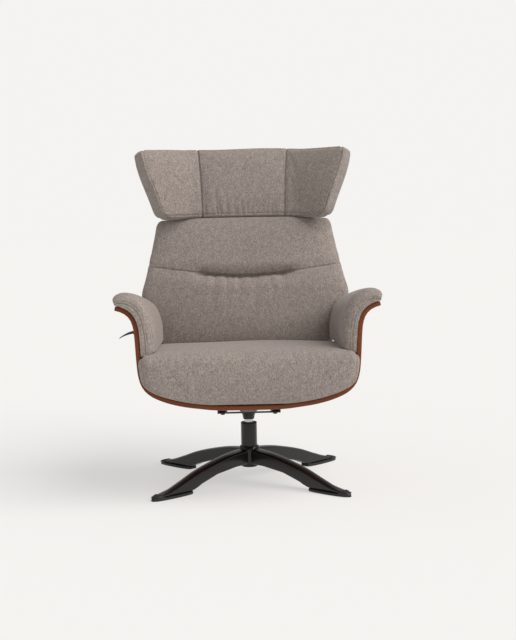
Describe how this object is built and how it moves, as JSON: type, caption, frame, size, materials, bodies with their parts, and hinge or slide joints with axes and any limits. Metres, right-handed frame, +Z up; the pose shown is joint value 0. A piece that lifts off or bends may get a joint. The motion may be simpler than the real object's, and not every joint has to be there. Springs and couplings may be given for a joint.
{
  "type": "star base swivel recliner",
  "caption": "Swivel recliner on a star base, with a bent walnut shell, upholstered arms, a reclining back and a winged headrest that rises and tilts",
  "frame": {"origin": "on the floor under the middle of the chair's width and depth; the swivel column stands 32.7 mm in front of it", "axes": "+Z up, -Y the way the sitter faces, +X to the right when the chair is seen from its front, as in the picture"},
  "size_m": [0.7852, 0.7914, 1.0425],
  "materials": {
    "base_paint": "semi-gloss",
    "black_plastic": "matte",
    "zinc": "zinc plated",
    "bright_steel": "polished",
    "walnut": "satin lacquered walnut veneer",
    "beech": "raw",
    "fabric": "brushed microfibre"
  },
  "bodies": {
    "base": {"base_hub": "base_paint", "star_leg_front_left": "base_paint", "star_leg_front_right": "base_paint", "star_leg_rear_left": "base_paint", "star_leg_rear_right": "base_paint", "foot_front_left": "black_plastic", "foot_front_right": "black_plastic", "foot_rear_left": "black_plastic", "foot_rear_right": "black_plastic", "foot_screw_front_left": "zinc", "foot_screw_front_right": "zinc", "foot_screw_rear_left": "zinc", "foot_screw_rear_right": "zinc", "column_tube": "base_paint", "thrust_bearing": "bright_steel", "guide_bush": "black_plastic", "hub_cap": "black_plastic"},
    "seat": {"spindle": "bright_steel", "spindle_clip": "zinc", "swivel_cone": "base_paint", "mechanism_tray": "base_paint", "tray_bolt_1": "zinc", "tray_bolt_2": "zinc", "tray_bolt_3": "zinc", "tray_bolt_4": "zinc", "bent_shell": "walnut", "shell_bolt_1": "zinc", "shell_bolt_2": "zinc", "shell_bolt_3": "zinc", "shell_bolt_4": "zinc", "seat_rail_left": "beech", "seat_rail_right": "beech", "seat_deck": "beech", "seat_cushion": "fabric", "arm_pad_left": "fabric", "arm_pad_right": "fabric", "hinge_bracket_left": "zinc", "hinge_bracket_right": "zinc", "hinge_pin_left": "bright_steel", "hinge_pin_right": "bright_steel", "gas_spring_cylinder": "base_paint", "gas_spring_bracket": "zinc", "lever_housing": "black_plastic", "lever_pin": "bright_steel"},
    "back": {"back_board": "beech", "back_cushion": "fabric", "rear_cover": "fabric", "hinge_plate_left": "zinc", "hinge_plate_right": "zinc", "crank": "zinc", "headrest_guide_left": "black_plastic", "headrest_guide_right": "black_plastic"},
    "headrest_slider": {"headrest_post_left": "bright_steel", "headrest_post_right": "bright_steel", "headrest_crossbar": "bright_steel"},
    "headrest": {"headrest_core": "beech", "headrest_cushion": "fabric", "headrest_rear_pad": "fabric"},
    "lever": {"release_lever": "black_plastic"},
    "gas_rod": {"gas_spring_rod": "bright_steel"}
  },
  "joints": [
    {"name": "swivel", "type": "hinge", "parent": "base", "child": "seat", "pos_m": [0, -0.0327, 0.17], "axis": [0, 0, 1], "continuous": true},
    {"name": "back_recline", "type": "hinge", "parent": "seat", "child": "back", "pos_m": [0, 0.2023, 0.365], "axis": [-1, 0, 0], "range_deg": [0, 26]},
    {"name": "headrest_height", "type": "slide", "parent": "back", "child": "headrest_slider", "axis": [0, 0.2419, 0.9703], "range_m": [0, 0.06]},
    {"name": "headrest_tilt", "type": "hinge", "parent": "headrest_slider", "child": "headrest", "pos_m": [0, 0.30653, 0.84092], "axis": [-1, 0, 0], "range_deg": [0, 12]},
    {"name": "recline_lever", "type": "hinge", "parent": "seat", "child": "lever", "pos_m": [-0.33832, -0.1527, 0.4826], "axis": [0, 1, 0], "range_deg": [0, 20], "stiffness_Nm_per_rad": 0.3, "springref_deg": -11.46},
    {"name": "gas_rod_slide", "type": "slide", "parent": "seat", "child": "gas_rod", "axis": [0, -1, 0], "range_m": [0, 0.027]}
  ],
  "couplings": [
    {"joint": "gas_rod_slide", "follows": "back_recline", "m_per_rad": 0.0595}
  ]
}
